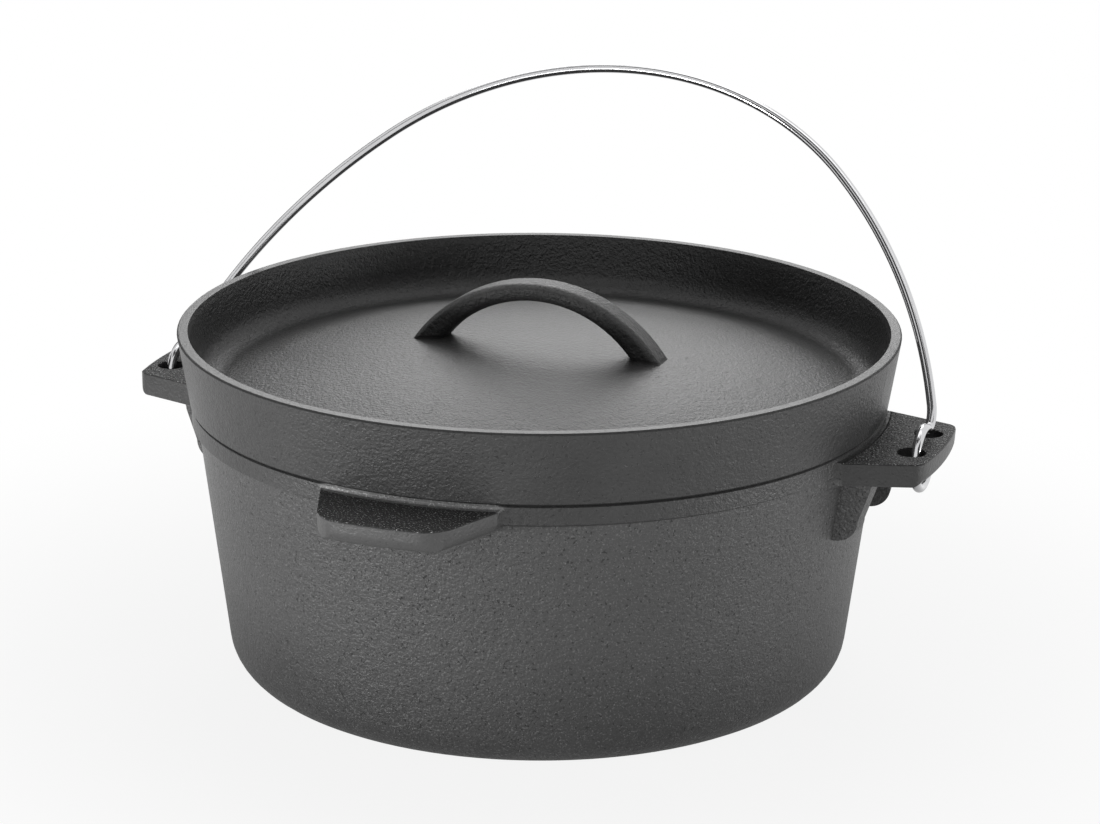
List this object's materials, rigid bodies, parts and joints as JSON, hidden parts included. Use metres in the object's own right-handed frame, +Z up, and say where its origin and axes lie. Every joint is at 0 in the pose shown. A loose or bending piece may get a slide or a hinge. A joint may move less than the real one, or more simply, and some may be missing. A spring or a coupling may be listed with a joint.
{
  "type": "camp dutch oven",
  "caption": "Round cast-iron camp pot with drilled side ears and a front tab, a deep coal-tray lid with a cast loop handle, and a swinging wire bail for hanging or carrying it.",
  "frame": {"origin": "centre of the pot's flat base, on the surface that it stands on", "axes": "+Z up, +X towards the right ear, -Y towards the front tab"},
  "size_m": [0.3484, 0.3246, 0.2331],
  "materials": {
    "iron": "satin seasoned sand casting, charcoal, with a fine pebbled grain",
    "wire": "bright drawn wire"
  },
  "bodies": {
    "pot": {"pot": "iron"},
    "lid": {"lid": "iron"},
    "bail": {"bail": "wire"}
  },
  "joints": [
    {"name": "lid_lift", "type": "slide", "parent": "pot", "child": "lid", "axis": [0, 0, 1], "range_m": [0, 0.009]},
    {"name": "bail_swing", "type": "hinge", "parent": "pot", "child": "bail", "pos_m": [0, 0, 0.1075], "axis": [1, 0, 0], "range_deg": [-21, 107]}
  ]
}
